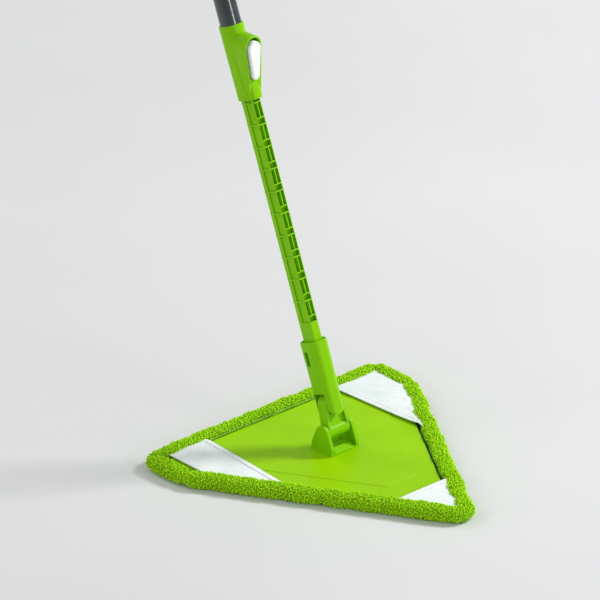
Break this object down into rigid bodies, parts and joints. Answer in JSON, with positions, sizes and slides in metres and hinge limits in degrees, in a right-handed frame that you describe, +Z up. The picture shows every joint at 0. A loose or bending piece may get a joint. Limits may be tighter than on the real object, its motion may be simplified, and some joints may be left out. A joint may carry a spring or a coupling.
{
  "type": "triangle mop",
  "caption": "Flat triangular chenille mop on a hinge that tilts and sways, with a telescopic ladder-rod pole, a rocker lock and a hanging hole.",
  "frame": {"origin": "on the floor, under the tilt hinge", "axes": "+Z up, X along the head's long straight edge, +Y towards that edge, so the pointed end is at -Y"},
  "size_m": [0.3206, 0.5827, 1.1621],
  "materials": {
    "chenille": "short curly pile",
    "pocket_fabric": "smooth woven",
    "plate_plastic": "semi-gloss moulded",
    "green_plastic": "semi-gloss moulded",
    "white_plastic": "semi-gloss moulded",
    "bush_plastic": "natural nylon",
    "grip_plastic": "soft matte",
    "dark_tube": "dark gloss coat",
    "steel": "plain"
  },
  "bodies": {
    "head": {"pad_sole": "chenille", "pad_rim": "chenille", "pocket_left": "pocket_fabric", "pocket_right": "pocket_fabric", "pocket_front": "pocket_fabric", "base_plate": "plate_plastic", "hinge_bracket": "green_plastic", "bracket_screws": "steel", "tilt_pin": "steel"},
    "swivel": {"cross_joint": "green_plastic", "barrel_bushes": "bush_plastic"},
    "lower_pole": {"pole_socket": "green_plastic", "sway_pin": "steel", "ladder_rod": "green_plastic", "rod_guide": "bush_plastic", "rod_guide_screw": "steel"},
    "upper_pole": {"outer_tube": "dark_tube", "lock_housing": "green_plastic", "guide_bush": "bush_plastic", "tube_screw": "steel", "lever_pin": "steel", "lever_spring": "steel", "hand_grip": "grip_plastic", "grip_cap": "green_plastic"},
    "lever": {"lock_lever": "white_plastic"}
  },
  "joints": [
    {"name": "tilt", "type": "hinge", "parent": "head", "child": "swivel", "pos_m": [0, 0, 0.031], "axis": [-1, 0, 0], "range_deg": [-96.7, 59.3]},
    {"name": "sway", "type": "hinge", "parent": "swivel", "child": "lower_pole", "pos_m": [0, 0.0085, 0.0561], "axis": [0, 0.9472, -0.3206], "range_deg": [-62.6, 67.4]},
    {"name": "telescope", "type": "slide", "parent": "lower_pole", "child": "upper_pole", "axis": [-0.0419, 0.3203, 0.9464], "range_m": [-0.225, 0.08]},
    {"name": "release", "type": "hinge", "parent": "upper_pole", "child": "lever", "pos_m": [-0.01493, 0.10773, 0.39855], "axis": [-0.9991, -0.0134, -0.0397], "range_deg": [0, 10], "stiffness_Nm_per_rad": 0.3, "springref_deg": -5.73}
  ]
}
